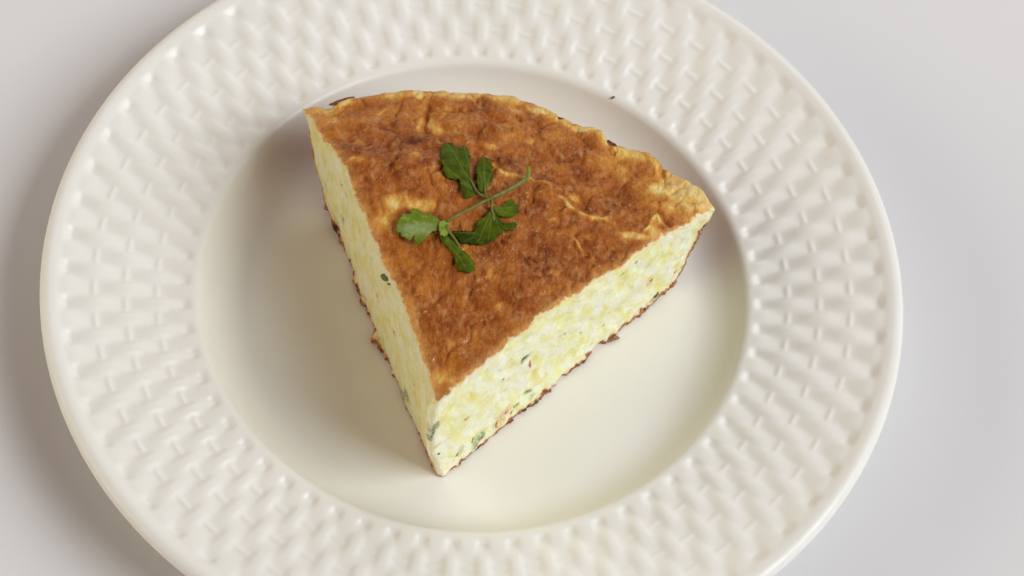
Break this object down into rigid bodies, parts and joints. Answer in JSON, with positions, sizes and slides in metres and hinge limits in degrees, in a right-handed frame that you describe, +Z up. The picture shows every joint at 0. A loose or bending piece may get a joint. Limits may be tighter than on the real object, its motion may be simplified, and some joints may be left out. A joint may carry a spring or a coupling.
{
  "type": "potato omelette",
  "caption": "Wedge of potato omelette with a browned, folded top, on a round dinner plate with a basket-weave rim, garnished with a coriander sprig.",
  "frame": {"origin": "middle of the plate's foot ring, on the surface that the plate stands on", "axes": "+Z up out of the plate; the slice's tip points to -Y and +X is to its right"},
  "size_m": [0.27, 0.27, 0.0621],
  "materials": {
    "porcelain": "warm white glazed porcelain with a soft gloss",
    "omelette": "pale yellow cooked egg and potato, browned to a mottled golden crust on top and underneath",
    "coriander": "fresh green herb leaf with a soft satin surface"
  },
  "bodies": {
    "root": {"plate": "porcelain", "omelette": "omelette", "coriander": "coriander"}
  },
  "joints": []
}
